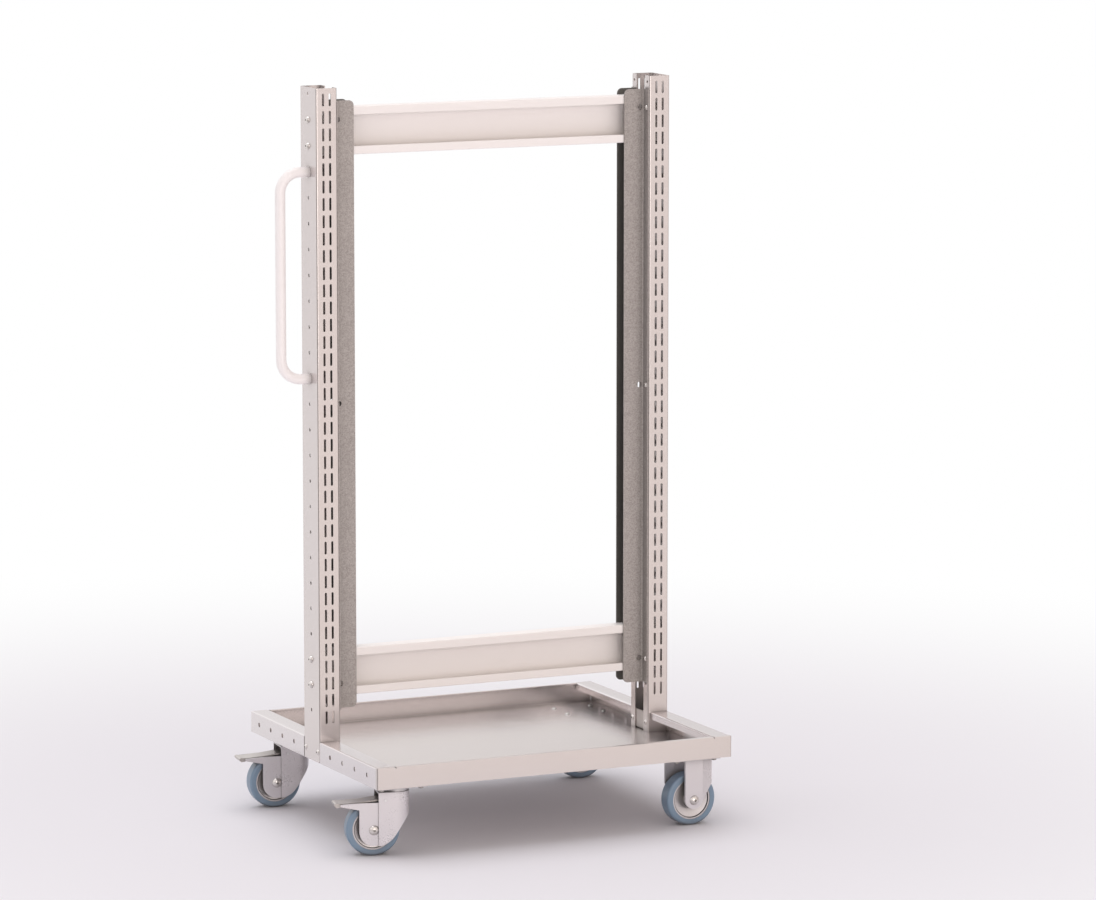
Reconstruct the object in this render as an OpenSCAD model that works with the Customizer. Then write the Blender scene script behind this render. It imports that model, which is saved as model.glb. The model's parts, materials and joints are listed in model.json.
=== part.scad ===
// Modular storage cart: a sheet steel tray on four casters, with two slotted
// uprights joined by two crossbeams, and a push handle on the left upright.
// X runs from the handle end to the fixed casters, Y from front to back, Z up.

/* [Tray] */
// Width of the tray, left to right
tray_w = 754; // [620:1:1000]
// Depth of the tray, front to back
tray_d = 632; // [560:1:800]
// Thickness of the tray and rail sheet
tray_t = 2; // [1.5:0.1:3]
// Height of the rims and side rails
rail_h = 41.5; // [34:0.5:60]
// Width of a side rail's flat top
rail_w = 38; // [30:1:42]
// Depth of the lip turned down from a side rail's inner edge
rail_lip = 14; // [12:1:26]
// Width of the lip turned inward along the front and rear rims
rim_lip = 10; // [6:1:14]
// Outside radius of the bends in tray and rails
tray_bend = 3; // [2.2:0.1:5]
// Diameter of the holes along the outside of the rails
rail_hole_d = 9; // [5:0.5:11]
// Distance between neighbouring rail holes
rail_hole_pitch = 60; // [56:1:60]
// Holes in each half of a rail, in front of and behind the upright's middle
rail_holes_half = 5; // [2:1:5]

/* [Uprights] */
// Width of an upright's slotted faces
upright_w = 44; // [42:1:60]
// Depth of an upright, front to back
upright_d = 78; // [74:1:92]
// Height of an upright above the tray floor
upright_h = 1310; // [1306:1:1500]
// Thickness of the upright sheet
upright_t = 2; // [1.5:0.1:2.5]
// Outside radius of the upright's bends
upright_bend = 3; // [2.6:0.1:5]
// Width of the lips along an upright's open side
lip_w = 20; // [18:1:22]
// Middle of the uprights, measured from the front of the tray
upright_y = 320; // [300:1:330]
// Length of a hanging slot
slot_l = 25; // [18:0.5:28]
// Width of a hanging slot
slot_w = 4.5; // [3:0.1:6]
// Vertical distance between slots
slot_pitch = 33.3333; // [30:0.0001:33.5]
// Distance between the two slot columns
slot_gap = 14; // [12:0.5:18]
// Rows of slots on each slotted face
slot_rows = 37; // [10:1:37]
// Middle of the lowest slot above the tray floor
slot_first = 87.5; // [70:0.5:100]
// Diameter of the round holes in the webs and lips
hole_d = 7; // [6.5:0.1:8]
// Vertical distance between the round holes
hole_pitch = 50; // [48:0.5:50.5]
// Round holes in each row
hole_rows = 25; // [23:2:25]
// Middle of the lowest round hole above the tray floor
hole_first = 97.5; // [80:0.1:100]

/* [Panel angles] */
// Clear gap between the front and rear angle of one upright
panel_gap = 30; // [24:0.5:31]
// Reach of an angle from the upright's open side
angle_reach = 44; // [30:1:60]
// Thickness of an angle
angle_t = 2; // [1.5:0.1:3]
// Margin between the angle's foot leg and the upright's face
angle_margin = 1.5; // [0.5:0.1:3]
// Distance of the angle's ends beyond its outer bolts
angle_end = 36; // [20:1:40]
// Radius of the free corners of an angle
angle_corner = 10; // [3:0.5:14]

/* [Beams] */
// Height of a crossbeam
beam_h = 93; // [88:1:110]
// Height of the lips along the open side of a beam
beam_lip = 16; // [8:0.5:24]
// Thickness of the beam sheet
beam_t = 1.5; // [1:0.1:2]
// Thickness of the plate on each beam end
beam_end_t = 2; // [1.5:0.1:4]
// Distance of each beam outward from the middle of its bolt pair
beam_shift = 2.5; // [0:0.5:5]

/* [Handle] */
// Diameter of the handle tube
handle_d = 20; // [16:0.5:28]
// Distance from the upright to the middle of the grip
handle_off = 59; // [50:1:90]
// Bend radius of the handle, along the middle of the tube
handle_bend = 40; // [25:1:45]
// Number of hole pitches between the ends of the handle
handle_steps = 8; // [4:1:8]
// Number of the round hole, from the bottom, that holds the lower end
handle_hole = 13; // [8:1:14]

/* [Foot brackets] */
// Height of a foot bracket above the tray floor
foot_h = 38; // [32:1:60]
// Thickness of a foot bracket
foot_t = 2; // [1.5:0.1:3]
// Height of the foot bolts above the tray floor
foot_bolt_z = 18; // [15:0.5:24]

/* [Casters] */
// Total height of a caster
caster_h = 137; // [128:1:150]
// Wheel diameter
wheel_d = 104; // [90:1:106]
// Width of the tyre
tyre_w = 32; // [26:1:34]
// Radial thickness of the tyre
tyre_t = 12; // [8:0.1:14]
// Radius of the tyre's shoulders
tyre_round = 5; // [3:0.5:9]
// Width of the wheel hub
hub_w = 44; // [40:0.5:44]
// Diameter of the axle bolts
axle_d = 8; // [7:0.5:10]
// Horizontal distance from the swivel axis to the wheel axle
trail = 44.5; // [40:0.5:52]
// Distance of the swivel axes from the left edge of the tray
swivel_in = 57.5; // [53:0.5:70]
// Distance of the fixed axles from the right edge of the tray
fixed_in = 70; // [58:1:90]
// Distance of the front casters from the front edge of the tray
front_in = 50.5; // [46:0.5:70]
// Distance of the rear casters from the rear edge of the tray
rear_in = 86; // [56:1:90]
// Turn of the front swivel caster as it stands, clockwise from above
front_turn = 14; // [-180:1:180]
// Turn of the rear swivel caster as it stands, clockwise from above
rear_turn = 6; // [-180:1:180]
// Length of a caster's top plate
plate_l = 105; // [96:1:110]
// Width of a caster's top plate
plate_w = 85; // [76:1:90]
// Thickness of a caster's top plate
plate_t = 3; // [2.5:0.1:4]
// Distance between plate holes, left to right
plate_dx = 82; // [76:1:84]
// Distance between plate holes, front to back
plate_dy = 63; // [62:0.5:66]
// Diameter of the plate bolts
plate_bolt_d = 6; // [5:0.5:6.5]
// Thickness of the fork sheet
fork_t = 3; // [2:0.1:3]
// Height of the swivel bearing between plate and fork
race_h = 9; // [6:0.5:10]
// Outer diameter of the swivel bearing
race_d = 52; // [40:1:56]
// Diameter of the kingpin
kingpin_d = 12; // [8:0.5:16]
// Distance the pedal's tip reaches out from the swivel axis
pedal_reach = 119; // [110:1:126]
// Width of the brake pedal
pedal_w = 37; // [24:1:38]

/* [Fasteners] */
// Diameter of the small bolts
bolt_d = 6; // [5:0.1:6.2]
// Running clearance around pins and shafts, on the radius
run_gap = 0.08; // [0.02:0.01:0.1]
// Clearance around bolts, on the radius
bolt_gap = 0.5; // [0.2:0.05:0.6]
// Clearance between parts that slide past each other
side_gap = 0.3; // [0.2:0.05:0.6]

/* [Hidden] */

$fn = 48;
cut = 1;            // how far a cutter runs past the face it cuts

// levels
tray_z = caster_h;
floor_z = tray_z + tray_t;
rail_top = tray_z + rail_h;
rail_hole_z = tray_z + rail_h / 2;

// uprights
up_y0 = upright_y - upright_d / 2;
up_y1 = upright_y + upright_d / 2;
up_top = floor_z + upright_h;
slot_x = upright_w / 2;
hole_y = upright_y;
lip_y = lip_w / 2;                     // middle of a lip, from the upright's face
function hole_z(i) = floor_z + hole_first + hole_pitch * i;
notch_gap = 0.6;                       // room around the upright where it passes the rail
joggle_lap = 14;                       // how far the rail's inner strap laps the wall

// bolts
head_d = bolt_d * 1.75;
head_h = bolt_d * 0.55;
web_head_d = bolt_d * 2.3;              // larger heads of the beam bolts, on the webs
web_head_h = bolt_d * 0.95;
nut_af = bolt_d * 1.66;
nut_h = bolt_d * 0.8;
bolt_r = bolt_d / 2;

// panel angles: the foot leg lies on the lip, the panel leg reaches inward
angle_y0 = up_y0 + angle_margin;
angle_y1 = upright_y - panel_gap / 2;
angle_rows = [1, (hole_rows - 1) / 2, hole_rows - 2];
access_r = 5.5;                        // access holes in the panel legs
angle_z0 = hole_z(1) - angle_end - 12;
angle_z1 = hole_z(hole_rows - 2) + angle_end;

// beams run from web to web and pass between the angles
beam_d = panel_gap - 2 * side_gap;
beam_rows = [[1, 2], [hole_rows - 3, hole_rows - 2]];
function beam_mid(i) = (hole_z(beam_rows[i][0]) + hole_z(beam_rows[i][1])) / 2
  + (i == 0 ? -1 : 1) * beam_shift;

// handle
handle_z0 = hole_z(handle_hole);
handle_z1 = hole_z(handle_hole + handle_steps);

// casters, seen from their own axis, with Z measured down from the tray
axle_z = wheel_d / 2 - caster_h;
rim_r = wheel_d / 2 - tyre_t;
fork_in = hub_w / 2 + side_gap;        // inner face of a fork leg
fork_out = fork_in + fork_t;
shell_t = 2.5;
shell_out = fork_out + shell_t;
crown_z = -plate_t - race_h - side_gap;
leg_r = 28;
leg_drop = 2.5;                        // how far the leg's round end lies below the axle
leg_top = axle_z + wheel_d / 2 + 1;
shell_back = -trail + 9;               // where the rounded shell meets the flat leg
wing_reach = 42;                       // reach of a fixed fork's wing from its axle
wing_turn = 12;                        // how far the wing is bent towards the wheel
strip_half = 19;
pedal_x = shell_back + 13.5;
pedal_z = axle_z + wheel_d / 2 + 5.5;
pedal_t = 2.5;
pin_r = 3;
axle_r = axle_d / 2;
bush_r = axle_r + 2.5;
king_r = kingpin_d / 2;
axle_head_d = axle_d * 2.45;
axle_head_h = axle_d * 0.75;
plate_r = plate_bolt_d / 2;
plate_head_h = plate_bolt_d * 0.5;
plate_nut_h = plate_bolt_d * 0.6;
plate_tail = 1;

caster_y = [front_in, tray_d - rear_in];
turn = [front_turn, rear_turn];
swivel_x = swivel_in;
fixed_x = tray_w - fixed_in;

// the origin lies on the floor under the middle of the whole cart
x_low = min(-handle_off - handle_d / 2, swivel_x - pedal_reach);
x_high = tray_w + web_head_h;
origin = [(x_low + x_high) / 2, tray_d / 2, 0];

steel = [0.80, 0.79, 0.80];
dull_steel = [0.62, 0.60, 0.59];
cream = [0.95, 0.93, 0.90];
zinc = [0.78, 0.78, 0.80];
tyre_blue = [0.40, 0.53, 0.66];
silver = [0.82, 0.81, 0.81];

// Moves a piece from the tray's corner to the cart's own frame
module place() { translate(-origin) children(); }

// Mirrors a left piece to the right side of the cart
module on_side(right) {
  if (right) translate([tray_w, 0, 0]) mirror([1, 0, 0]) children();
  else children();
}

// Mirrors a front piece to the back of the upright
module at_back(back) {
  if (back) translate([0, 2 * upright_y, 0]) mirror([0, 1, 0]) children();
  else children();
}

function unit(v) = v / norm(v);

// Outline of bent sheet: outer corner points that all turn left, sheet on the left
module fold_section(points, t, r) {
  last = len(points) - 1;
  for (i = [0 : last - 1]) {
    d = unit(points[i + 1] - points[i]);
    side = [-d[1], d[0]];
    a = points[i] + d * (i == 0 ? 0 : r);
    b = points[i + 1] - d * (i == last - 1 ? 0 : r);
    polygon([a, b, b + side * t, a + side * t]);
    if (i < last - 1) {
      e = unit(points[i + 2] - points[i + 1]);
      centre = points[i + 1] - d * r + e * r;
      corner = points[i + 1];
      intersection() {
        translate(centre) difference() {
          circle(r = r);
          circle(r = r - t);
        }
        polygon([centre, [corner[0], centre[1]], corner, [centre[0], corner[1]]]);
      }
    }
  }
}

// Extrudes an outline in the plane of Y and Z along X
module along_x(x0, x1) {
  translate([x0, 0, 0]) rotate([90, 0, 90]) linear_extrude(x1 - x0) children();
}

// Extrudes an outline in the plane of X and Z along Y, from y0 to y1
module along_y(y0, y1) {
  translate([0, y1, 0]) rotate([90, 0, 0]) linear_extrude(y1 - y0) children();
}

// Round rod or hole along X
module rod_x(x0, x1, y, z, r) {
  translate([x0, y, z]) rotate([0, 90, 0]) cylinder(h = x1 - x0, r = r);
}

// Round rod or hole along Y
module rod_y(x, y0, y1, z, r) {
  translate([x, y0, z]) rotate([-90, 0, 0]) cylinder(h = y1 - y0, r = r);
}

// Domed head that rises along +Z from the origin, with a socket for the key
module dome_head(d, h, key) {
  ball = (d * d / 4 + h * h) / (2 * h);
  difference() {
    rotate_extrude() intersection() {
      translate([0, h - ball]) circle(r = ball, $fn = 96);
      square([d / 2, h]);
    }
    if (key > 0) translate([0, 0, h * 0.45]) cylinder(h = h, d = key, $fn = 6);
  }
}

// Bolt with its head on the +Z side of the origin, through a grip below it
module bolt(r, grip, tail, head_dia, head_high, key) {
  union() {
    dome_head(head_dia, head_high, key);
    translate([0, 0, -grip - tail]) cylinder(h = grip + tail, r = r);
  }
}

// Hexagon nut whose top face lies at z = 0
module nut(r, af, h) {
  difference() {
    translate([0, 0, -h]) cylinder(h = h, r = af / sqrt(3), $fn = 6);
    translate([0, 0, -h - cut]) cylinder(h = h + 2 * cut, r = r + run_gap);
  }
}

// Small bolt and nut that point along +Z, clamping a grip below the head
module bolt_and_nut(grip) {
  bolt(bolt_r, grip, nut_h + 1, head_d, head_h, bolt_d * 0.7);
  translate([0, 0, -grip]) nut(bolt_r, nut_af, nut_h);
}

// Places a bolt with its head at x, pointing to -X
module head_left(x, y, z) { translate([x, y, z]) rotate([0, -90, 0]) children(); }

// Places a bolt with its head at x, pointing to +X
module head_right(x, y, z) { translate([x, y, z]) rotate([0, 90, 0]) children(); }

// Tray, rails and feet

module tray() {
  place() color(steel) difference() {
    union() {
      difference() {
        along_x(tray_bend, tray_w - tray_bend)
          fold_section([[rim_lip, rail_top], [0, rail_top], [0, tray_z], [tray_d, tray_z],
            [tray_d, rail_top], [tray_d - rim_lip, rail_top]], tray_t, tray_bend);
        // the rear rim runs on under the rails' tops, slit for their inner lips
        for (right = [false, true]) on_side(right) {
          translate([-cut, tray_d - rim_lip - cut, rail_top - tray_t - side_gap])
            cube([rail_w + cut, rim_lip + 2 * cut, tray_t + side_gap + cut]);
          translate([rail_w - tray_bend - side_gap, tray_d - rim_lip - cut,
            rail_top - rail_lip - side_gap])
            cube([tray_bend + side_gap, rim_lip + 2 * cut, rail_lip + side_gap + cut]);
        }
      }
      translate([tray_t, tray_bend, tray_z])
        cube([tray_w - 2 * tray_t, tray_d - 2 * tray_bend, tray_t]);
      translate([0, 0, tray_z]) linear_extrude(rail_h)
        fold_section([[0, rim_lip], [0, 0], [tray_w, 0], [tray_w, rim_lip]], tray_t, tray_bend);
      for (x = [0, tray_w - tray_bend])
        translate([x + (x == 0 ? tray_t : 0), tray_t, rail_top - tray_t])
          cube([tray_bend - tray_t, rim_lip - tray_t, tray_t]);
    }
    // relief at the front corners, where the rails' tops end
    for (x = [rail_w, tray_w - rail_w])
      translate([x - 1.5, -cut, rail_top - tray_t - 1])
        cube([3, rim_lip + 2 * cut, tray_t + 1 + cut]);
    for (x = [swivel_x, fixed_x]) for (y = caster_y) plate_holes(x, y)
      translate([0, 0, tray_z - cut]) cylinder(h = tray_t + 2 * cut, r = plate_r + bolt_gap);
    for (right = [false, true]) on_side(right) foot_floor_hole(upright_w / 2);
  }
}

// Repeats a piece at the four holes of a caster plate
module plate_holes(x, y) {
  for (i = [-1, 1]) for (j = [-1, 1])
    translate([x + i * plate_dx / 2, y + j * plate_dy / 2, 0]) children();
}

module foot_floor_hole(x) {
  translate([x, upright_y, tray_z - cut])
    cylinder(h = tray_t + foot_t + 2 * cut, r = bolt_r + bolt_gap);
}

module rail(right) {
  gap0 = up_y0 - notch_gap;
  gap1 = up_y1 + notch_gap;
  place() color(steel) on_side(right) difference() {
    union() {
      difference() {
        along_y(rim_lip, tray_d)
          fold_section([[rail_w, rail_top - rail_lip], [rail_w, rail_top], [0, rail_top],
            [0, tray_z]], tray_t, tray_bend);
        translate([-cut, gap0, tray_z - cut])
          cube([rail_w + 2 * cut, gap1 - gap0, rail_h + 2 * cut]);
      }
      // inner strap that bridges the gap behind the upright's web
      translate([tray_t, gap0 - joggle_lap, floor_z])
        cube([tray_t, gap1 - gap0 + 2 * joggle_lap, rail_h - tray_t - tray_bend]);
    }
    for (i = [0 : rail_holes_half - 1]) for (s = [-1, 1])
      rod_x(-cut, 2 * tray_t + cut, upright_y + s * rail_hole_pitch * (i + 0.5), rail_hole_z,
        i == 0 ? bolt_r + bolt_gap : rail_hole_d / 2);
  }
}

module left_rail() { rail(false); }
module right_rail() { rail(true); }

// U-shaped bracket inside the foot of an upright
module foot(right) {
  x0 = 2 * tray_t;
  x1 = upright_w - upright_t;
  y0 = up_y0 + upright_t + side_gap;
  y1 = up_y1 - upright_t - side_gap;
  place() color(steel) on_side(right) difference() {
    along_y(y0, y1)
      fold_section([[x0, floor_z + foot_h], [x0, floor_z], [x1, floor_z],
        [x1, floor_z + foot_h]], foot_t, foot_t + 1);
    for (s = [-1, 1]) {
      rod_x(x0 - cut, x0 + foot_t + cut, upright_y + s * rail_hole_pitch / 2, rail_hole_z,
        bolt_r + bolt_gap);
      rod_x(x1 - foot_t - cut, x1 + cut, upright_y + s * (upright_d / 2 - lip_y),
        floor_z + foot_bolt_z, bolt_r + bolt_gap);
    }
    foot_floor_hole(upright_w / 2);
  }
}

module left_foot() { foot(false); }
module right_foot() { foot(true); }

module foot_bolts(right) {
  place() color(zinc) on_side(right) {
    for (s = [-1, 1]) {
      head_left(0, upright_y + s * rail_hole_pitch / 2, rail_hole_z)
        bolt_and_nut(upright_t + tray_t + foot_t);
      head_right(upright_w, upright_y + s * (upright_d / 2 - lip_y), floor_z + foot_bolt_z)
        bolt_and_nut(upright_t + foot_t);
    }
    translate([upright_w / 2, upright_y, floor_z + foot_t]) bolt_and_nut(foot_t + tray_t);
  }
}

module left_foot_bolts() { foot_bolts(false); }
module right_foot_bolts() { foot_bolts(true); }

// Uprights, angles and beams

// Outline of one slot, upright in the plane of X and Z
module slot_outline() {
  square([slot_w, slot_l - slot_w], center = true);
  for (s = [-1, 1]) translate([0, s * (slot_l - slot_w) / 2]) circle(d = slot_w, $fn = 24);
}

module upright(right) {
  place() color(steel) on_side(right) difference() {
    union() {
      translate([0, 0, floor_z]) linear_extrude(upright_h)
        fold_section([[upright_w, up_y1 - lip_w], [upright_w, up_y1], [0, up_y1], [0, up_y0],
          [upright_w, up_y0], [upright_w, up_y0 + lip_w]], upright_t, upright_bend);
      // the web runs on down over the rail
      translate([0, up_y0 + upright_bend, tray_z])
        cube([upright_t, upright_d - 2 * upright_bend, rail_h]);
    }
    along_y(up_y0 - cut, up_y1 + cut)
      for (i = [0 : slot_rows - 1]) for (s = [-1, 1])
        translate([slot_x + s * slot_gap / 2, floor_z + slot_first + slot_pitch * i])
          slot_outline();
    for (i = [0 : hole_rows - 1]) {
      rod_x(-cut, upright_t + cut, hole_y, hole_z(i), hole_d / 2);
      for (y = [up_y0 + lip_y, up_y1 - lip_y])
        rod_x(upright_w - upright_t - cut, upright_w + cut, y, hole_z(i), hole_d / 2);
    }
    for (s = [-1, 1]) {
      rod_x(-cut, upright_t + cut, upright_y + s * rail_hole_pitch / 2, rail_hole_z,
        bolt_r + bolt_gap);
      rod_x(upright_w - upright_t - cut, upright_w + cut,
        upright_y + s * (upright_d / 2 - lip_y), floor_z + foot_bolt_z, bolt_r + bolt_gap);
    }
    // room for the rail's strap at the foot
    translate([upright_t, up_y0 - cut, floor_z - cut])
      cube([tray_t + side_gap, upright_d + 2 * cut, rail_h - tray_t + cut + notch_gap]);
  }
}

module left_upright() { upright(false); }
module right_upright() { upright(true); }

module angle_outline() {
  x1 = upright_w + angle_reach;
  difference() {
    translate([upright_w, angle_z0]) square([angle_reach, angle_z1 - angle_z0]);
    for (z = [angle_z0, angle_z1]) {
      s = z == angle_z0 ? 1 : -1;
      difference() {
        translate([x1 - angle_corner, s > 0 ? z - cut : z - angle_corner])
          square([angle_corner + cut, angle_corner + cut]);
        translate([x1 - angle_corner, z + s * angle_corner]) circle(r = angle_corner);
      }
    }
  }
}

module panel_angle(right, back) {
  bend = angle_t + 2.5;
  place() color(dull_steel) on_side(right) at_back(back) difference() {
    intersection() {
      translate([0, 0, angle_z0]) linear_extrude(angle_z1 - angle_z0)
        fold_section([[upright_w + angle_reach, angle_y1], [upright_w, angle_y1],
          [upright_w, angle_y0]], angle_t, bend);
      along_y(up_y0, upright_y) angle_outline();
    }
    for (i = angle_rows) {
      rod_x(upright_w - cut, upright_w + angle_t + cut, up_y0 + lip_y, hole_z(i),
        bolt_r + bolt_gap);
      // access hole beside each bolt, through the panel leg
      rod_y(upright_w + bend + access_r, angle_y1 - angle_t - cut, angle_y1 + cut, hole_z(i),
        access_r);
    }
  }
}

module left_front_angle() { panel_angle(false, false); }
module left_rear_angle() { panel_angle(false, true); }
module right_front_angle() { panel_angle(true, false); }
module right_rear_angle() { panel_angle(true, true); }

module angle_bolts(right) {
  place() color(zinc) on_side(right) for (back = [false, true]) at_back(back)
    for (i = angle_rows)
      head_right(upright_w + angle_t, up_y0 + lip_y, hole_z(i))
        bolt_and_nut(upright_t + angle_t);
}

module left_angle_bolts() { angle_bolts(false); }
module right_angle_bolts() { angle_bolts(true); }

module beam(i) {
  y0 = upright_y - beam_d / 2;
  y1 = upright_y + beam_d / 2;
  z0 = beam_mid(i) - beam_h / 2;
  z1 = beam_mid(i) + beam_h / 2;
  bend = beam_t + 1;
  x_end = upright_t;
  place() color(cream) difference() {
    union() {
      along_x(x_end, tray_w - x_end)
        fold_section([[y0, z0 + beam_lip], [y0, z0], [y1, z0], [y1, z1], [y0, z1],
          [y0, z1 - beam_lip]], beam_t, bend);
      for (x = [x_end, tray_w - x_end - beam_end_t])
        translate([x, y0 + beam_t / 2, z0 + beam_t / 2])
          cube([beam_end_t, beam_d - beam_t, beam_h - beam_t]);
    }
    for (row = beam_rows[i])
      for (x = [x_end, tray_w - x_end - beam_end_t])
        rod_x(x - cut, x + beam_end_t + cut, hole_y, hole_z(row), bolt_r + bolt_gap);
  }
}

module bottom_beam() { beam(0); }
module top_beam() { beam(1); }

module beam_bolts(right) {
  place() color(zinc) on_side(right) for (rows = beam_rows) for (row = rows)
    head_left(0, hole_y, hole_z(row)) {
      bolt(bolt_r, upright_t + beam_end_t, nut_h + 1, web_head_d, web_head_h, bolt_d * 0.7);
      translate([0, 0, -upright_t - beam_end_t]) nut(bolt_r, nut_af, nut_h);
    }
}

module left_beam_bolts() { beam_bolts(false); }
module right_beam_bolts() { beam_bolts(true); }

// Handle

handle_tap = 16;                       // depth of the threaded holes in its ends

module handle_bend_part(z, down) {
  translate([-handle_off + handle_bend, hole_y, z + (down ? -handle_bend : handle_bend)])
    rotate([90, 0, 0]) rotate([0, 0, down ? 90 : 180])
      rotate_extrude(angle = 90) translate([handle_bend, 0]) circle(d = handle_d);
}

module handle() {
  r = handle_d / 2;
  place() color(cream) difference() {
    union() {
      for (z = [handle_z0, handle_z1])
        rod_x(-handle_off + handle_bend, 0, hole_y, z, r);
      handle_bend_part(handle_z0, false);
      handle_bend_part(handle_z1, true);
      translate([-handle_off, hole_y, handle_z0 + handle_bend])
        cylinder(h = handle_z1 - handle_z0 - 2 * handle_bend, r = r);
    }
    for (z = [handle_z0, handle_z1])
      rod_x(-handle_tap, cut, hole_y, z, bolt_r + run_gap);
  }
}

module handle_bolts() {
  place() color(zinc) for (z = [handle_z0, handle_z1])
    head_right(upright_t, hole_y, z)
      bolt(bolt_r, upright_t + handle_tap - 3, 0, head_d, head_h, bolt_d * 0.7);
}

// Casters

// Moves a piece from its caster's top to the tray's underside
module at_caster(x, back) { place() translate([x, caster_y[back], tray_z]) children(); }

// The same for a piece that turns with its swivel fork
module at_swivel(back) { at_caster(swivel_x, back) rotate([0, 0, -turn[back]]) children(); }

module plate_shape() {
  r = 6;
  difference() {
    translate([-plate_l / 2, -plate_w / 2, -plate_t]) cube([plate_l, plate_w, plate_t]);
    for (i = [-1, 1]) for (j = [-1, 1]) {
      translate([i * plate_dx / 2, j * plate_dy / 2, -plate_t - cut])
        cylinder(h = plate_t + 2 * cut, r = plate_r + bolt_gap);
      // rounded corners
      translate([i * (plate_l / 2 - r), j * (plate_w / 2 - r), -plate_t - cut]) difference() {
        translate([i > 0 ? 0 : -r - cut, j > 0 ? 0 : -r - cut, 0])
          cube([r + cut, r + cut, plate_t + 2 * cut]);
        cylinder(h = plate_t + 2 * cut, r = r);
      }
    }
  }
}

module caster_plate_bolts() {
  place() color(zinc) for (x = [swivel_x, fixed_x]) for (y = caster_y)
    plate_holes(x, y) translate([0, 0, floor_z]) {
      bolt(plate_r, tray_t + plate_t, plate_nut_h + plate_tail, plate_bolt_d * 1.75,
        plate_head_h, 0);
      translate([0, 0, -tray_t - plate_t]) nut(plate_r, plate_bolt_d * 1.6, plate_nut_h);
    }
}

module swivel_plate(back) {
  at_caster(swivel_x, back) color(zinc) plate_shape();
}

module front_swivel_plate() { swivel_plate(0); }
module rear_swivel_plate() { swivel_plate(1); }

module swivel_race(back) {
  at_caster(swivel_x, back) color(dull_steel) translate([0, 0, -plate_t - race_h])
    difference() {
      cylinder(h = race_h, d = race_d);
      translate([0, 0, -cut]) cylinder(h = race_h + 2 * cut, r = king_r + run_gap);
    }
}

module front_swivel_race() { swivel_race(0); }
module rear_swivel_race() { swivel_race(1); }

king_head = 4;

module kingpin(back) {
  bottom = crown_z - fork_t - side_gap;
  at_caster(swivel_x, back) color(zinc) union() {
    translate([0, 0, bottom]) cylinder(h = -plate_t - bottom, r = king_r);
    translate([0, 0, bottom - king_head]) cylinder(h = king_head, r = king_r + 4);
  }
}

module front_kingpin() { kingpin(0); }
module rear_kingpin() { kingpin(1); }

// Outline of the rounded shell from above, grown outward by o
module shell_plan(o) {
  translate([shell_back, -o]) square([-shell_back, 2 * o]);
  circle(r = o);
}

// Side outline that the shell is trimmed to
module shell_side() {
  edge = shell_out + cut;
  low = [[edge, 33], [25.5, 28.5], [20, 21.5], [14.4, 14.5], [8.5, 6], [2.8, -2.5], [-3, -11],
    [-8, -17.4], [-13, -22], [-18.7, -26], [-26, -29.3], [shell_back, -31]];
  polygon(concat([[shell_back, cut], [edge, cut]], [for (p = low) [p[0], axle_z + p[1]]]));
}

// Side outline of a fork's flat leg, with its horn and rounded end
module leg_side() {
  horn = -trail - leg_r;
  translate([-trail, axle_z - leg_drop]) circle(r = leg_r, $fn = 72);
  translate([horn, axle_z - leg_drop]) square([2 * leg_r - 6, leg_top + leg_drop - axle_z]);
  polygon([[horn, leg_top], [horn - 35, leg_top - 1.5], [horn - 37, leg_top - 3.5],
    [horn - 34, leg_top - 6], [horn, leg_top - 13.5]]);
}

module swivel_fork(back) {
  at_swivel(back) color(zinc) difference() {
    union() {
      intersection() {
        translate([0, 0, -caster_h]) linear_extrude(caster_h + crown_z) difference() {
          shell_plan(shell_out);
          shell_plan(shell_out - shell_t);
        }
        along_y(-shell_out - cut, shell_out + cut) shell_side();
      }
      translate([0, 0, crown_z - fork_t]) linear_extrude(fork_t) shell_plan(shell_out);
      for (s = [-1, 1])
        along_y(s > 0 ? fork_in : -fork_out, s > 0 ? fork_out : -fork_in) leg_side();
    }
    translate([0, 0, crown_z - fork_t - cut])
      cylinder(h = fork_t + 2 * cut, r = king_r + run_gap);
    rod_y(-trail, -shell_out - cut, shell_out + cut, axle_z, axle_r + run_gap);
    rod_y(pedal_x, -shell_out - cut, shell_out + cut, pedal_z, pin_r + run_gap);
  }
}

module front_swivel_fork() { swivel_fork(0); }
module rear_swivel_fork() { swivel_fork(1); }

// Side outline of the brake pedal: a bent plate from the pin to its thick tip
module pedal_side() {
  tip = -pedal_reach;
  translate([pedal_x, pedal_z]) circle(r = pin_r + 1.8);
  polygon([[pedal_x, pedal_z + 2.5], [pedal_x - 25, pedal_z - 0.7], [pedal_x - 48, pedal_z - 3.5],
    [tip + 18, pedal_z - 5.3], [tip + 11, pedal_z - 5.4], [tip + 3, pedal_z - 4.6],
    [tip, pedal_z - 6], [tip, pedal_z - 9.5], [tip + 3.5, pedal_z - 13],
    [tip + 10, pedal_z - 12.5], [tip + 17, pedal_z - 9.5],
    [tip + 18, pedal_z - 5.3 - pedal_t], [pedal_x - 48, pedal_z - 3.5 - pedal_t],
    [pedal_x - 25, pedal_z - 0.7 - pedal_t], [pedal_x, pedal_z - 2]]);
}

module brake_pedal(back) {
  at_swivel(back) color(cream) difference() {
    along_y(-pedal_w / 2, pedal_w / 2) pedal_side();
    rod_y(pedal_x, -pedal_w, pedal_w, pedal_z, pin_r + run_gap);
  }
}

module front_brake_pedal() { brake_pedal(0); }
module rear_brake_pedal() { brake_pedal(1); }

module pedal_pin(back) {
  at_swivel(back) color(zinc)
    rod_y(pedal_x, -shell_out - 0.5, shell_out + 0.5, pedal_z, pin_r);
}

module front_pedal_pin() { pedal_pin(0); }
module rear_pedal_pin() { pedal_pin(1); }

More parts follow.
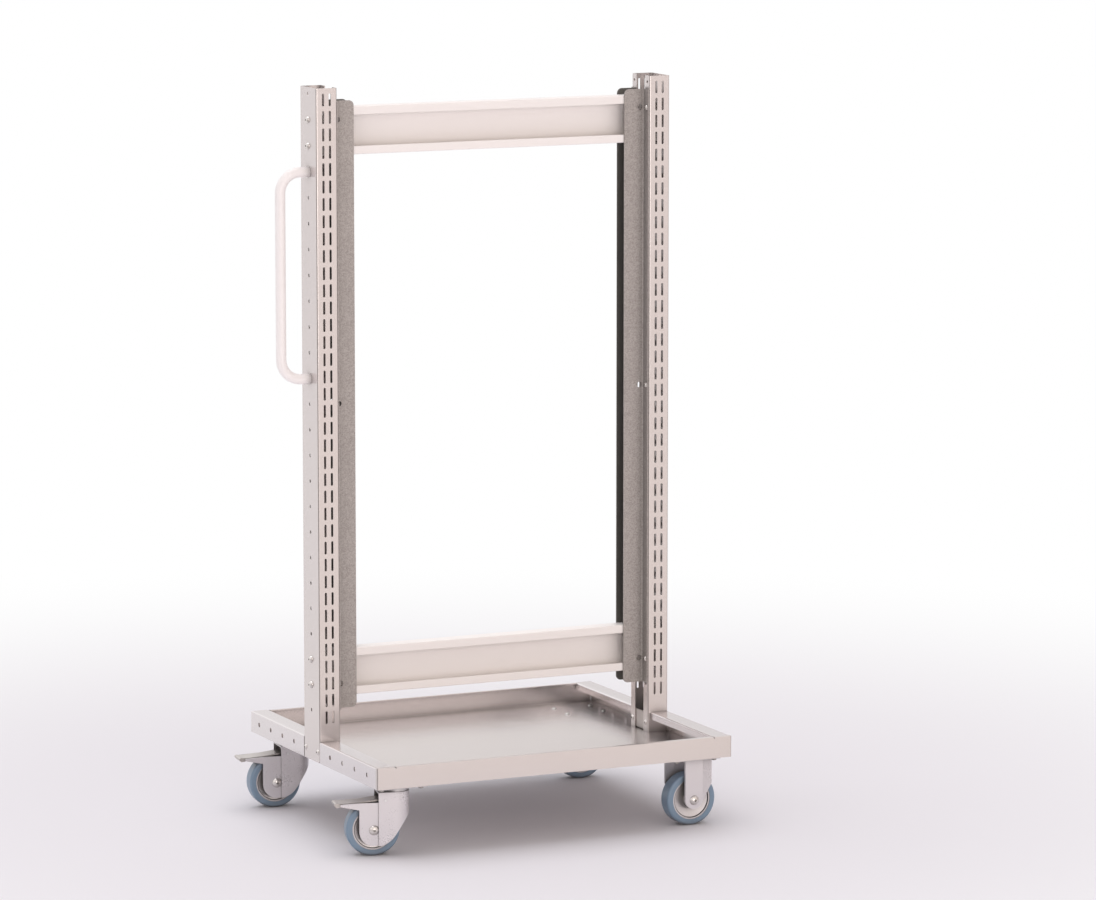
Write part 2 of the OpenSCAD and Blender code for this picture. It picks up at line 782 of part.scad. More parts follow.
// Side outline of a fixed fork's leg, down to the axle
module fixed_strip() {
  translate([0, axle_z + 1.5]) circle(r = strip_half, $fn = 72);
  translate([-strip_half, axle_z]) square([2 * strip_half, -axle_z - plate_t / 2]);
}

// Side outline of the wing beside it, from the strip's edge
module wing_side() {
  reach = wing_reach - strip_half;
  polygon([[-4, -plate_t / 2], [reach, -plate_t / 2], [reach, axle_z + 29], [0, axle_z - 3.5],
    [-4, axle_z - 3.5]]);
}

module fixed_fork(back) {
  at_caster(fixed_x, back) color(zinc) difference() {
    union() {
      plate_shape();
      for (side = [0, 180]) rotate([0, 0, side]) {
        along_y(-shell_out, -fork_in) fixed_strip();
        translate([strip_half, -fork_out, 0]) rotate([0, 0, wing_turn])
          along_y(0, fork_t) wing_side();
      }
    }
    rod_y(0, -shell_out - cut, shell_out + cut, axle_z, axle_r + run_gap);
  }
}

module front_fixed_fork() { fixed_fork(0); }
module rear_fixed_fork() { fixed_fork(1); }

// Wheels

// Moves a wheel piece from its own axis to its place under the cart
module at_wheel(left, back) {
  if (left) at_swivel(back) translate([-trail, 0, axle_z]) rotate([-90, 0, 0]) children();
  else at_caster(fixed_x, back) translate([0, 0, axle_z]) rotate([-90, 0, 0]) children();
}

module rim(left, back) {
  face = tyre_w / 2 - 3;
  at_wheel(left, back) color(silver) rotate_extrude($fn = 96) polygon([
    [bush_r, -hub_w / 2], [bush_r + 7, -hub_w / 2], [bush_r + 9, -face + 3],
    [rim_r - 4.5, -face], [rim_r - 4.5, -face + 5], [rim_r - 2.8, -face + 5],
    [rim_r - 2.8, -face - 2], [rim_r, -face - 2], [rim_r, face + 2], [rim_r - 2.8, face + 2],
    [rim_r - 2.8, face - 5], [rim_r - 4.5, face - 5], [rim_r - 4.5, face],
    [bush_r + 9, face - 3], [bush_r + 7, hub_w / 2], [bush_r, hub_w / 2]]);
}

module front_left_rim() { rim(true, 0); }
module rear_left_rim() { rim(true, 1); }
module front_right_rim() { rim(false, 0); }
module rear_right_rim() { rim(false, 1); }

// Half of the tyre's cross-section, with round shoulders
module tyre_section() {
  inner = rim_r + 0.05;
  h = tyre_w / 2;
  difference() {
    translate([inner, -h]) square([wheel_d / 2 - inner, tyre_w]);
    for (s = [-1, 1]) difference() {
      translate([wheel_d / 2 - tyre_round, s > 0 ? h - tyre_round : -h - cut])
        square([tyre_round + cut, tyre_round + cut]);
      translate([wheel_d / 2 - tyre_round, s * (h - tyre_round)])
        circle(r = tyre_round);
    }
  }
}

module tyre(left, back) {
  at_wheel(left, back) color(tyre_blue) rotate_extrude($fn = 96) tyre_section();
}

module front_left_tyre() { tyre(true, 0); }
module rear_left_tyre() { tyre(true, 1); }
module front_right_tyre() { tyre(false, 0); }
module rear_right_tyre() { tyre(false, 1); }

module bush(left, back) {
  at_wheel(left, back) color(dull_steel) difference() {
    translate([0, 0, -hub_w / 2]) cylinder(h = hub_w, r = bush_r - 0.05);
    translate([0, 0, -hub_w / 2 - cut]) cylinder(h = hub_w + 2 * cut, r = axle_r + run_gap);
  }
}

module front_left_bush() { bush(true, 0); }
module rear_left_bush() { bush(true, 1); }
module front_right_bush() { bush(false, 0); }
module rear_right_bush() { bush(false, 1); }

// A swivel fork's axle is gripped by its flat legs, a fixed fork's by the strips
function grip_half(left) = left ? fork_out : shell_out;

module axle(left, back) {
  grip = grip_half(left);
  at_wheel(left, back) color(zinc) translate([0, 0, -grip]) rotate([180, 0, 0])
    bolt(axle_r, 2 * grip, axle_head_h, axle_head_d, axle_head_h, axle_d * 0.7);
}

module front_left_axle() { axle(true, 0); }
module rear_left_axle() { axle(true, 1); }
module front_right_axle() { axle(false, 0); }
module rear_right_axle() { axle(false, 1); }

module axle_nut(left, back) {
  at_wheel(left, back) color(zinc) translate([0, 0, grip_half(left)]) rotate([180, 0, 0])
    nut(axle_r, axle_d * 1.6, axle_d * 0.7);
}

module front_left_nut() { axle_nut(true, 0); }
module rear_left_nut() { axle_nut(true, 1); }
module front_right_nut() { axle_nut(false, 0); }
module rear_right_nut() { axle_nut(false, 1); }

tray();
left_rail();
right_rail();
left_upright();
right_upright();
left_front_angle();
left_rear_angle();
right_front_angle();
right_rear_angle();
top_beam();
bottom_beam();
left_foot();
right_foot();
handle();
handle_bolts();
left_beam_bolts();
right_beam_bolts();
left_angle_bolts();
right_angle_bolts();
left_foot_bolts();
right_foot_bolts();
caster_plate_bolts();
front_swivel_plate();
rear_swivel_plate();
front_swivel_race();
rear_swivel_race();
front_kingpin();
rear_kingpin();
front_swivel_fork();
rear_swivel_fork();
front_brake_pedal();
rear_brake_pedal();
front_pedal_pin();
rear_pedal_pin();
front_fixed_fork();
rear_fixed_fork();
front_left_rim();
rear_left_rim();
front_right_rim();
rear_right_rim();
front_left_tyre();
rear_left_tyre();
front_right_tyre();
rear_right_tyre();
front_left_bush();
rear_left_bush();
front_right_bush();
rear_right_bush();
front_left_axle();
rear_left_axle();
front_right_axle();
rear_right_axle();
front_left_nut();
rear_left_nut();
front_right_nut();
rear_right_nut();
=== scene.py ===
import json
import math
import bpy
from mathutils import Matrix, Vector

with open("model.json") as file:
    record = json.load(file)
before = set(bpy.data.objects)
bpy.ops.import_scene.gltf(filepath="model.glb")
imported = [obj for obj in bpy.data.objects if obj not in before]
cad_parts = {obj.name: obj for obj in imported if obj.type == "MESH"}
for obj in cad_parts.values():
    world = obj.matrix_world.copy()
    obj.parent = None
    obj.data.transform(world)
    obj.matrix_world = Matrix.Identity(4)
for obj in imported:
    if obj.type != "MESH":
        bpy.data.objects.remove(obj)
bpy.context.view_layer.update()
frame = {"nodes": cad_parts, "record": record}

# Lengths are in metres. Places in a finish are object coordinates, which are zero on the floor in
# the middle of the cart, with x to the right and y to the rear.


def feed(tree, value, socket):
    if isinstance(value, bpy.types.NodeSocket):
        tree.links.new(value, socket)
    elif value is not None:
        socket.default_value = (*value, 1.0)[:4] if socket.type == "RGBA" else value


def addNode(tree, kind, **settings):
    node = tree.nodes.new(kind)
    for key, value in settings.items():
        setattr(node, key, value)
    return node


def newGroup(name, inputs, outputs):
    group = bpy.data.node_groups.new(name, "ShaderNodeTree")
    for socketName, kind, default in inputs:
        socket = group.interface.new_socket(name=socketName, in_out="INPUT", socket_type=kind)
        socket.default_value = default
    for socketName, kind in outputs:
        group.interface.new_socket(name=socketName, in_out="OUTPUT", socket_type=kind)
    start = group.nodes.new("NodeGroupInput")
    end = group.nodes.new("NodeGroupOutput")
    return group, start.outputs, end.inputs


def placeGroup(tree, group, **values):
    node = addNode(tree, "ShaderNodeGroup", node_tree=group)
    for key, value in values.items():
        feed(tree, value, node.inputs[key.replace("_", " ")])
    return node.outputs


def calc(tree, operation, a, b=None, clamp=False):
    node = addNode(tree, "ShaderNodeMath", operation=operation, use_clamp=clamp)
    feed(tree, a, node.inputs[0])
    feed(tree, b, node.inputs[1])
    return node.outputs[0]


def vectorCalc(tree, operation, a, b=None):
    node = addNode(tree, "ShaderNodeVectorMath", operation=operation)
    feed(tree, a, node.inputs[0])
    feed(tree, b, node.inputs[1])
    return node.outputs["Value" if operation in ("DOT_PRODUCT", "LENGTH") else "Vector"]


def remap(tree, value, low, high, toLow=0.0, toHigh=1.0, smooth=False):
    node = addNode(tree, "ShaderNodeMapRange", clamp=True,
                   interpolation_type="SMOOTHSTEP" if smooth else "LINEAR")
    names = ("Value", "From Min", "From Max", "To Min", "To Max")
    for name, given in zip(names, (value, low, high, toLow, toHigh)):
        feed(tree, given, node.inputs[name])
    return node.outputs["Result"]


def mixColor(tree, factor, a, b):
    factorSocket, colorA, colorB = 0, 6, 7
    node = addNode(tree, "ShaderNodeMix", data_type="RGBA")
    for index, value in ((factorSocket, factor), (colorA, a), (colorB, b)):
        feed(tree, value, node.inputs[index])
    return node.outputs[2]


def objectPlace(tree):
    return addNode(tree, "ShaderNodeTexCoord").outputs["Object"]


def noise(tree, place, scale, detail, roughness=0.5):
    node = addNode(tree, "ShaderNodeTexNoise")
    for name, value in (("Vector", place), ("Scale", scale), ("Detail", detail),
                        ("Roughness", roughness)):
        feed(tree, value, node.inputs[name])
    return node.outputs["Fac"]


# soft cloudy change of colour over a sheet, and fine streaks along its brushed direction
def makeToneGroup():
    v = dict(cloudDetail=5.0, cloudRough=0.62, cloudLow=0.35, cloudHigh=0.68,
             lineScale=1500.0, lineDetail=4.0, lineLow=0.35, lineHigh=0.65)
    group, given, out = newGroup("sheetTone", [
        ("Base", "NodeSocketColor", (0.8, 0.8, 0.8, 1)),
        ("Tint", "NodeSocketColor", (0.7, 0.7, 0.7, 1)),
        ("Scale", "NodeSocketFloat", 3.0),
        ("Amount", "NodeSocketFloat", 0.3),
        ("Streaks", "NodeSocketFloat", 0.3),
        ("Stretch", "NodeSocketVector", (1, 1, 1))], [("Color", "NodeSocketColor")])
    place = objectPlace(group)
    clouds = noise(group, place, given["Scale"], v["cloudDetail"], v["cloudRough"])
    drawn = vectorCalc(group, "MULTIPLY", place, given["Stretch"])
    lines = noise(group, drawn, v["lineScale"], v["lineDetail"])
    cloud = calc(group, "MULTIPLY", remap(group, clouds, v["cloudLow"], v["cloudHigh"]),
                 given["Amount"])
    line = calc(group, "MULTIPLY", remap(group, lines, v["lineLow"], v["lineHigh"]),
                given["Streaks"])
    factor = calc(group, "ADD", cloud, line, clamp=True)
    feed(group, mixColor(group, factor, given["Base"], given["Tint"]), out["Color"])
    return group


# fine texture of a finish: height for a bump, and roughness that varies with it and more broadly
def makeGrainGroup():
    v = dict(fineDetail=3.0, broadScale=14.0, broadDetail=4.0, broadShare=0.6, fineShare=0.4,
             low=0.35, high=0.65)
    group, given, out = newGroup("fineGrain", [
        ("Scale", "NodeSocketFloat", 900.0),
        ("Rough", "NodeSocketFloat", 0.4),
        ("Rough change", "NodeSocketFloat", 0.1),
        ("Stretch", "NodeSocketVector", (1, 1, 1))],
        [("Height", "NodeSocketFloat"), ("Roughness", "NodeSocketFloat")])
    place = objectPlace(group)
    drawn = vectorCalc(group, "MULTIPLY", place, given["Stretch"])
    fine = noise(group, drawn, given["Scale"], v["fineDetail"])
    broad = noise(group, place, v["broadScale"], v["broadDetail"])
    mixed = calc(group, "ADD", calc(group, "MULTIPLY", broad, v["broadShare"]),
                 calc(group, "MULTIPLY", fine, v["fineShare"]))
    half = calc(group, "MULTIPLY", given["Rough change"], 0.5)
    low = calc(group, "SUBTRACT", given["Rough"], half)
    high = calc(group, "ADD", given["Rough"], half)
    feed(group, fine, out["Height"])
    feed(group, remap(group, mixed, v["low"], v["high"], low, high), out["Roughness"])
    return group


# painted shade: how far a place lies in a crevice, from 0 in the open to 1 far inside, from the
# surfaces near it; finishes darken their colour by it
def makeCreviceShadeGroup():
    group, given, out = newGroup("creviceShadeMask", [
        ("Reach", "NodeSocketFloat", 0.02),
        ("Open", "NodeSocketFloat", 0.85),
        ("Deep", "NodeSocketFloat", 0.25),
        ("Amount", "NodeSocketFloat", 0.6)], [("Mask", "NodeSocketFloat")])
    around = addNode(group, "ShaderNodeAmbientOcclusion", samples=6)
    feed(group, given["Reach"], around.inputs["Distance"])
    depth = remap(group, around.outputs["AO"], given["Open"], given["Deep"])
    feed(group, calc(group, "MULTIPLY", depth, given["Amount"]), out["Mask"])
    return group


# a thin upright dark line painted around Corner, along a bend where two faces meet; Size is half
# its width along each axis
def makeDarkLineGroup():
    group, given, out = newGroup("paintedDarkLine", [
        ("Corner", "NodeSocketVector", (0, 0, 0)),
        ("Size", "NodeSocketVector", (0.001, 0.001, 1)),
        ("Amount", "NodeSocketFloat", 0.7)], [("Mask", "NodeSocketFloat")])
    away = vectorCalc(group, "SUBTRACT", objectPlace(group), given["Corner"])
    share = vectorCalc(group, "DIVIDE", vectorCalc(group, "ABSOLUTE", away), given["Size"])
    parts = addNode(group, "ShaderNodeSeparateXYZ")
    feed(group, share, parts.inputs[0])
    worst = calc(group, "MAXIMUM", parts.outputs["X"], parts.outputs["Y"])
    inside = calc(group, "LESS_THAN", worst, 1.0)
    feed(group, calc(group, "MULTIPLY", inside, given["Amount"]), out["Mask"])
    return group


# how the room looks in one direction: cool in general, warm towards the front right, dark to the
# left and to the right, and brighter in a band above the horizon at the back
def makeRoomGroup():
    warmSide = ((0.42, -0.9, 0.1), -0.2, 0.95)
    darkSides = [((-0.86, -0.5, 0.0), 0.8, 0.98, 1.0), ((0.95, 0.3, 0.0), 0.45, 0.95, 0.8),
                 ((0.93, -0.35, 0.0), 0.80, 0.98, 0.7)]
    glowAbove, glowBehind = ((0.0, 0.0, 1.0), 0.16, 0.36), ((0.0, 1.0, 0.0), 0.1, 0.5)
    group, given, out = newGroup("roomTone", [
        ("Direction", "NodeSocketVector", (0, 0, 1)),
        ("Cool", "NodeSocketColor", (0.9, 0.92, 0.97, 1)),
        ("Warm", "NodeSocketColor", (1.0, 0.9, 0.85, 1)),
        ("Dark", "NodeSocketColor", (0.4, 0.36, 0.34, 1)),
        ("Dark amount", "NodeSocketFloat", 0.5),
        ("Glow", "NodeSocketColor", (1.2, 1.18, 1.16, 1))], [("Color", "NodeSocketColor")])

    def toward(direction, low, high):
        dot = vectorCalc(group, "DOT_PRODUCT", given["Direction"], direction)
        return remap(group, dot, low, high, smooth=True)

    warm = mixColor(group, toward(*warmSide), given["Cool"], given["Warm"])
    shade = 0.0
    for direction, low, high, share in darkSides:
        side = calc(group, "MULTIPLY", toward(direction, low, high), share)
        shade = calc(group, "MAXIMUM", shade, side)
    shade = calc(group, "MULTIPLY", shade, given["Dark amount"])
    glow = calc(group, "MULTIPLY", toward(*glowAbove), toward(*glowBehind))
    seen = mixColor(group, glow, warm, given["Glow"])
    feed(group, mixColor(group, shade, seen, given["Dark"]), out["Color"])
    return group


# speckled dark zinc, as on the panel angles
def makeMottleGroup():
    v = dict(speckScale=1.3, speckDetail=4.0, speckRough=0.7, flakeShare=0.45, speckShare=0.75,
             low=0.3, high=0.85)
    group, given, out = newGroup("zincMottle", [
        ("Light", "NodeSocketColor", (0.4, 0.4, 0.4, 1)),
        ("Dark", "NodeSocketColor", (0.2, 0.2, 0.2, 1)),
        ("Scale", "NodeSocketFloat", 260.0),
        ("Contrast", "NodeSocketFloat", 0.5)],
        [("Color", "NodeSocketColor"), ("Height", "NodeSocketFloat")])
    place = objectPlace(group)
    flakes = addNode(group, "ShaderNodeTexVoronoi", feature="F1")
    feed(group, place, flakes.inputs["Vector"])
    feed(group, given["Scale"], flakes.inputs["Scale"])
    specks = noise(group, place, calc(group, "MULTIPLY", given["Scale"], v["speckScale"]),
                   v["speckDetail"], v["speckRough"])
    tone = addNode(group, "ShaderNodeSeparateColor")
    feed(group, flakes.outputs["Color"], tone.inputs[0])
    both = calc(group, "ADD", calc(group, "MULTIPLY", tone.outputs[0], v["flakeShare"]),
                calc(group, "MULTIPLY", specks, v["speckShare"]))
    level = calc(group, "MULTIPLY", remap(group, both, v["low"], v["high"]), given["Contrast"])
    feed(group, mixColor(group, level, given["Light"], given["Dark"]), out["Color"])
    feed(group, both, out["Height"])
    return group


toneGroup = makeToneGroup()
grainGroup = makeGrainGroup()
mottleGroup = makeMottleGroup()
roomGroup = makeRoomGroup()
creviceShadeGroup = makeCreviceShadeGroup()
darkLineGroup = makeDarkLineGroup()
print("effects ready")


# what the finishes below share, unless they say otherwise; stretch is the brushed direction, with
# a small number along it
sheetDefaults = dict(stretch=(1, 1, 1), bump=0.006, bumpDepth=0.0004, creviceShade=0.75,
                     creviceShadeReach=0.025, creviceShadeColor=(0.10, 0.085, 0.075), coat=0.0, coatRough=0.3,
                     darkLines=())

finishes = {
    "tray": dict(base=(0.70, 0.66, 0.655), tint=(0.54, 0.505, 0.49), toneScale=4,
                 toneAmount=0.072, streaks=0.12, stretch=(0.02, 1, 1), metal=0.85,
                 rough=0.25, roughChange=0.045, grainScale=1400,
                 # a dark line painted down the front-left corner bend of the tray
                 darkLines=[dict(Corner=(-0.3447, -0.3136, 0), Size=(0.0014, 0.0009, 1), Amount=0.7)]),
    "rail": dict(base=(0.72, 0.69, 0.705), tint=(0.60, 0.565, 0.56), toneScale=6,
                 toneAmount=0.060, streaks=0.10, stretch=(1, 0.02, 1), metal=0.95,
                 rough=0.17, roughChange=0.036, grainScale=1400),
    "upright": dict(base=(0.71, 0.665, 0.655), tint=(0.62, 0.58, 0.57), toneScale=4,
                    toneAmount=0.072, streaks=0.07, stretch=(1, 1, 0.02), metal=0.6,
                    rough=0.19, roughChange=0.036, grainScale=1600,
                    # painted shade: dark lines down the uprights' front bends, standing in for the
                    # shade and dark reflection of the bends
                    darkLines=[dict(Corner=(x, -0.0350, 0), Size=(0.0016, 0.0016, 2), Amount=amount)
                           for x, amount in ((-0.34535, 0.62), (-0.30135, 0.55), (0.36465, 0.55))]),
    "bracket": dict(base=(0.50, 0.47, 0.455), tint=(0.42, 0.39, 0.37), toneScale=30,
                    toneAmount=0.120, streaks=0.10, stretch=(1, 1, 0.05), metal=0.8,
                    rough=0.3, roughChange=0.054, grainScale=1200),
    "beam": dict(base=(0.97, 0.925, 0.90), tint=(0.93, 0.885, 0.86), toneScale=3,
                 toneAmount=0.072, streaks=0.03, stretch=(0.3, 1, 1), metal=0.0,
                 rough=0.36, roughChange=0.027, grainScale=1800, creviceShade=0.3),
    "handle": dict(base=(0.98, 0.94, 0.93), tint=(0.93, 0.90, 0.89), toneScale=5,
                   toneAmount=0.072, streaks=0.03, metal=0.0,
                   rough=0.34, roughChange=0.027, grainScale=1800),
    "bolts": dict(base=(0.74, 0.71, 0.69), tint=(0.58, 0.55, 0.53), toneScale=60,
                  toneAmount=0.096, streaks=0.07, metal=0.85,
                  rough=0.24, roughChange=0.045, grainScale=1800, bump=0.005),
    "fork": dict(base=(0.70, 0.675, 0.70), tint=(0.58, 0.55, 0.555), toneScale=20,
                 toneAmount=0.03, streaks=0.03, stretch=(1, 1, 0.3), metal=0.55,
                 rough=0.28, roughChange=0.02, grainScale=1400),
    "bearing": dict(base=(0.72, 0.71, 0.73), tint=(0.60, 0.59, 0.60), toneScale=60,
                    toneAmount=0.144, streaks=0.07, metal=0.85,
                    rough=0.28, roughChange=0.045, grainScale=1400, bump=0.005),
    "pedal": dict(base=(0.52, 0.49, 0.47), tint=(0.42, 0.395, 0.375), toneScale=40,
                  toneAmount=0.120, streaks=0.10, stretch=(0.1, 1, 1), metal=0.7,
                  rough=0.3, roughChange=0.045, grainScale=1400),
    "rim": dict(base=(0.68, 0.655, 0.66), tint=(0.58, 0.56, 0.56), toneScale=40,
                toneAmount=0.096, streaks=0.07, metal=0.7,
                rough=0.3, roughChange=0.036, grainScale=1400, bump=0.005),
    "tyre": dict(base=(0.20, 0.285, 0.385), tint=(0.16, 0.235, 0.32), toneScale=25,
                 toneAmount=0.144, streaks=0.03, metal=0.0,
                 rough=0.38, roughChange=0.06, grainScale=1000, bump=0.10, coat=0.25),
    # painted shade: a darker copy of the bolts finish, so that the caster plate bolts look dim
    # instead of catching bright reflections
    "shadedPlateBolts": dict(base=(0.42, 0.40, 0.385), tint=(0.34, 0.32, 0.31), toneScale=60,
                       toneAmount=0.1, streaks=0.05, metal=0.8,
                       rough=0.35, roughChange=0.05, grainScale=1800, bump=0.005),
}

# grooveMiddle and grooveHalf: where, along y, the front and rear angles face each other in shade;
# grooveShadeColor is that shade, painted there and into crevices
angleFinish = dict(light=(0.50, 0.465, 0.45), dark=(0.27, 0.245, 0.23), flakeScale=520,
                   contrast=0.8, metal=0.35, rough=0.5, roughChange=0.14, grainScale=500.0,
                   bump=0.10, bumpDepth=0.0005, creviceShade=0.7, creviceShadeReach=0.05,
                   grooveShadeColor=(0.135, 0.13, 0.12), grooveMiddle=0.004, grooveHalf=0.016)


def newMaterial(name):
    material = bpy.data.materials.new(name)
    material.use_nodes = True
    tree = material.node_tree
    tree.nodes.clear()
    out = addNode(tree, "ShaderNodeOutputMaterial")
    shader = addNode(tree, "ShaderNodeBsdfPrincipled")
    feed(tree, shader.outputs[0], out.inputs["Surface"])
    return material, tree, shader, out


def addCreviceShade(tree, v):
    return placeGroup(tree, creviceShadeGroup, Reach=v["creviceShadeReach"], Amount=v["creviceShade"])["Mask"]


def finishShader(tree, shader, v, color, roughness, height):
    bump = addNode(tree, "ShaderNodeBump")
    feed(tree, v["bump"], bump.inputs["Strength"])
    feed(tree, v["bumpDepth"], bump.inputs["Distance"])
    feed(tree, height, bump.inputs["Height"])
    feed(tree, bump.outputs[0], shader.inputs["Normal"])
    feed(tree, color, shader.inputs["Base Color"])
    feed(tree, roughness, shader.inputs["Roughness"])
    shader.inputs["Metallic"].default_value = v["metal"]


def sheetMaterial(name, v):
    material, tree, shader, _ = newMaterial(name)
    tone = placeGroup(tree, toneGroup, Base=v["base"], Tint=v["tint"], Scale=v["toneScale"],
                      Amount=v["toneAmount"], Streaks=v["streaks"], Stretch=v["stretch"])
    grain = placeGroup(tree, grainGroup, Scale=v["grainScale"], Rough=v["rough"],
                       Rough_change=v["roughChange"], Stretch=v["stretch"])
    # painted shade: the colour turns towards creviceShadeColor in crevices, joints and recesses
    dark = addCreviceShade(tree, v)
    # painted dark lines along bends join the same mask
    for darkLine in v["darkLines"]:
        dark = calc(tree, "MAXIMUM", dark, placeGroup(tree, darkLineGroup, **darkLine)["Mask"])
    color = mixColor(tree, dark, tone["Color"], v["creviceShadeColor"])
    finishShader(tree, shader, v, color, grain["Roughness"], grain["Height"])
    shader.inputs["Coat Weight"].default_value = v["coat"]
    shader.inputs["Coat Roughness"].default_value = v["coatRough"]
    return material


def mottledMaterial(name, v):
    material, tree, shader, _ = newMaterial(name)
    mottle = placeGroup(tree, mottleGroup, Light=v["light"], Dark=v["dark"],
                        Scale=v["flakeScale"], Contrast=v["contrast"])
    grain = placeGroup(tree, grainGroup, Scale=v["grainScale"], Rough=v["rough"],
                       Rough_change=v["roughChange"])
    parts = addNode(tree, "ShaderNodeSeparateXYZ")
    feed(tree, objectPlace(tree), parts.inputs[0])
    # painted shade: the faces between the front and rear angles, and crevices, turn to
    # grooveShadeColor
    away = calc(tree, "ABSOLUTE", calc(tree, "SUBTRACT", parts.outputs["Y"], v["grooveMiddle"]))
    groove = calc(tree, "LESS_THAN", away, v["grooveHalf"])
    dark = calc(tree, "MAXIMUM", groove, addCreviceShade(tree, v))
    color = mixColor(tree, dark, mottle["Color"], v["grooveShadeColor"])
    finishShader(tree, shader, v, color, grain["Roughness"], mottle["Height"])
    return material


materialOf = {name: sheetMaterial(name + "Finish", {**sheetDefaults, **v})
              for name, v in finishes.items()}
materialOf["angle"] = mottledMaterial("angleFinish", angleFinish)

for row in frame["record"]["subparts"]:
    node = frame["nodes"][row["node"]]
    node.data.materials.clear()
    # the caster plate bolts get the shaded, darker copy of the bolts finish
    finish = "shadedPlateBolts" if row["node"] == "caster_plate_bolts" else row["material_slot"]
    node.data.materials.append(materialOf[finish])
print("finishes ready")


# the tones of the room, which metal mirrors
room = dict(Cool=(1.0, 0.97, 0.965), Warm=(1.06, 0.955, 0.90), Dark=(0.30, 0.26, 0.24),
            Dark_amount=0.75)


# white to the camera, and the tones of the room to every other ray
def backdropColor(tree, rays, direction):
    tone = placeGroup(tree, roomGroup, Direction=direction, **room)["Color"]
    return mixColor(tree, rays["Is Camera Ray"], tone, (1.0, 1.0, 1.0))


def seenDirectly(tree, rays):
    seen = calc(tree, "MAXIMUM", rays["Is Camera Ray"], rays["Is Glossy Ray"])
    return calc(tree, "MAXIMUM", seen, rays["Is Transmission Ray"])


# fade and glossFade: distances from the middle between which the floor turns into the backdrop,
# for the camera and for mirrored rays
floorValues = dict(color=(0.805, 0.79, 0.822), rough=0.9, specular=0.1, size=60.0,
                   fade=(0.65, 3.0), glossFade=(0.35, 1.4))


def makeFloor(v):
    half = v["size"] / 2
    corners = [(-half, -half, 0), (half, -half, 0), (half, half, 0), (-half, half, 0)]
    mesh = bpy.data.meshes.new("floor")
    mesh.from_pydata(corners, [], [(0, 1, 2, 3)])
    floor = bpy.data.objects.new("floor", mesh)
    bpy.context.scene.collection.objects.link(floor)
    material, tree, shader, out = newMaterial("floorFinish")
    shader.inputs["Base Color"].default_value = (*v["color"], 1)
    shader.inputs["Roughness"].default_value = v["rough"]
    shader.inputs["Specular IOR Level"].default_value = v["specular"]
    place = objectPlace(tree)
    rays = addNode(tree, "ShaderNodeLightPath").outputs
    near, far = (remap(tree, rays["Is Glossy Ray"], 0, 1, camera, gloss)
                 for camera, gloss in zip(v["fade"], v["glossFade"]))
    fade = remap(tree, vectorCalc(tree, "LENGTH", place), near, far, smooth=True)
    white = addNode(tree, "ShaderNodeEmission")
    ahead = vectorCalc(tree, "NORMALIZE", place)
    feed(tree, backdropColor(tree, rays, ahead), white.inputs[0])
    mix = addNode(tree, "ShaderNodeMixShader")
    feed(tree, calc(tree, "MULTIPLY", fade, seenDirectly(tree, rays)), mix.inputs[0])
    feed(tree, shader.outputs[0], mix.inputs[1])
    feed(tree, white.outputs[0], mix.inputs[2])
    feed(tree, mix.outputs[0], out.inputs["Surface"])
    mesh.materials.append(material)


# soft light from all round at a plain strength; camera and mirrored rays see the backdrop instead
def makeWorld(strength):
    world = bpy.data.worlds.new("studio")
    bpy.context.scene.world = world
    world.use_nodes = True
    tree = world.node_tree
    tree.nodes.clear()
    rays = addNode(tree, "ShaderNodeLightPath").outputs
    direction = addNode(tree, "ShaderNodeTexCoord").outputs["Generated"]
    soft = addNode(tree, "ShaderNodeBackground")
    feed(tree, placeGroup(tree, roomGroup, Direction=direction, **room)["Color"], soft.inputs[0])
    soft.inputs[1].default_value = strength
    white = addNode(tree, "ShaderNodeBackground")
    feed(tree, backdropColor(tree, rays, direction), white.inputs[0])
    white.inputs[1].default_value = 1.0
    mix = addNode(tree, "ShaderNodeMixShader")
    feed(tree, seenDirectly(tree, rays), mix.inputs[0])
    feed(tree, soft.outputs[0], mix.inputs[1])
    feed(tree, white.outputs[0], mix.inputs[2])
    out = addNode(tree, "ShaderNodeOutputWorld")
    feed(tree, mix.outputs[0], out.inputs["Surface"])


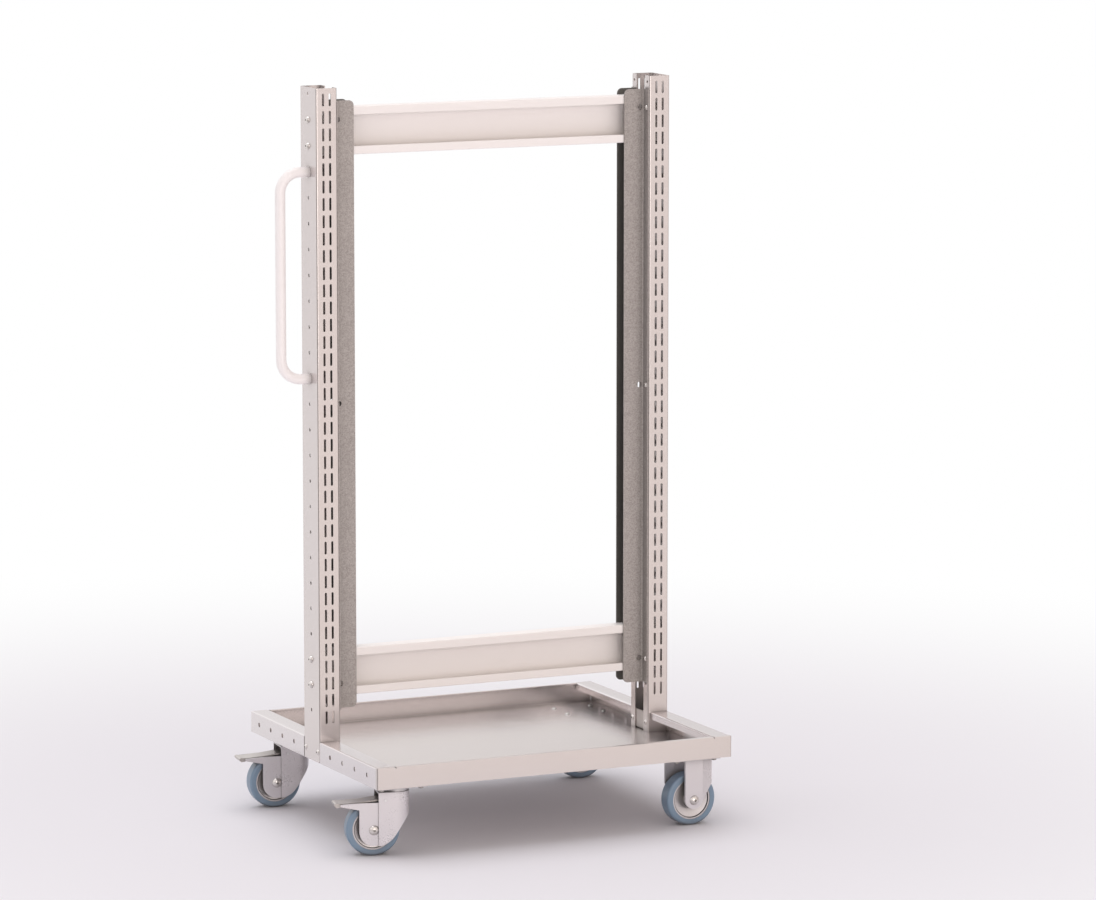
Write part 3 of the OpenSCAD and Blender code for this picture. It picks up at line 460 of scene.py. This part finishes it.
# the overhead light's angle and tilt are in degrees
overhead = dict(strength=1.15, angle=60, tilt=(-14, 0), color=(0.98, 0.985, 1.05))
lamps = dict(
    key=dict(size=5.0, power=150, color=(1.0, 0.93, 0.89), place=(-0.8, -7.5, 1.4),
             aim=(0, 0, 0.6)),
    fill=dict(size=4.0, power=24, color=(0.98, 0.97, 1.0), place=(-6.0, -2.5, 2.2),
              aim=(0, 0, 0.7)))


def makeOverhead(v):
    sun = bpy.data.lights.new("overhead", "SUN")
    sun.energy = v["strength"]
    sun.angle = math.radians(v["angle"])
    sun.color = v["color"]
    lamp = bpy.data.objects.new("overhead", sun)
    lamp.rotation_euler = (math.radians(v["tilt"][0]), math.radians(v["tilt"][1]), 0)
    bpy.context.scene.collection.objects.link(lamp)


def makeLamp(name, v):
    light = bpy.data.lights.new(name, "AREA")
    light.shape = "SQUARE"
    light.size = v["size"]
    light.energy = v["power"]
    light.color = v["color"]
    lamp = bpy.data.objects.new(name, light)
    lamp.location = v["place"]
    lamp.rotation_euler = (Vector(v["aim"]) - lamp.location).to_track_quat("-Z", "Y").to_euler()
    bpy.context.scene.collection.objects.link(lamp)


# turn and dip are in degrees, focal and imageWidth in pixels of the photograph, sensor in mm
cameraPlace = dict(location=(-4.48098, -9.84952, 2.3262), turn=25.234, dip=8.413, focal=5586.2,
                   imageWidth=1096, sensor=36.0, nearest=0.1, farthest=200)


def makeCamera(v):
    data = bpy.data.cameras.new("camera")
    data.sensor_width = v["sensor"]
    data.lens = v["focal"] / v["imageWidth"] * v["sensor"]
    data.clip_start, data.clip_end = v["nearest"], v["farthest"]
    camera = bpy.data.objects.new("camera", data)
    turn, dip = math.radians(v["turn"]), math.radians(v["dip"])
    ahead = Vector((math.sin(turn) * math.cos(dip), math.cos(turn) * math.cos(dip),
                    -math.sin(dip)))
    camera.location = v["location"]
    camera.rotation_euler = ahead.to_track_quat("-Z", "Y").to_euler()
    bpy.context.scene.collection.objects.link(camera)
    bpy.context.scene.camera = camera


makeFloor(floorValues)
makeWorld(strength=0.62)
makeOverhead(overhead)
for name, lamp in lamps.items():
    makeLamp(name, lamp)
makeCamera(cameraPlace)
bpy.context.scene.view_settings.view_transform = "Standard"
print("studio ready")
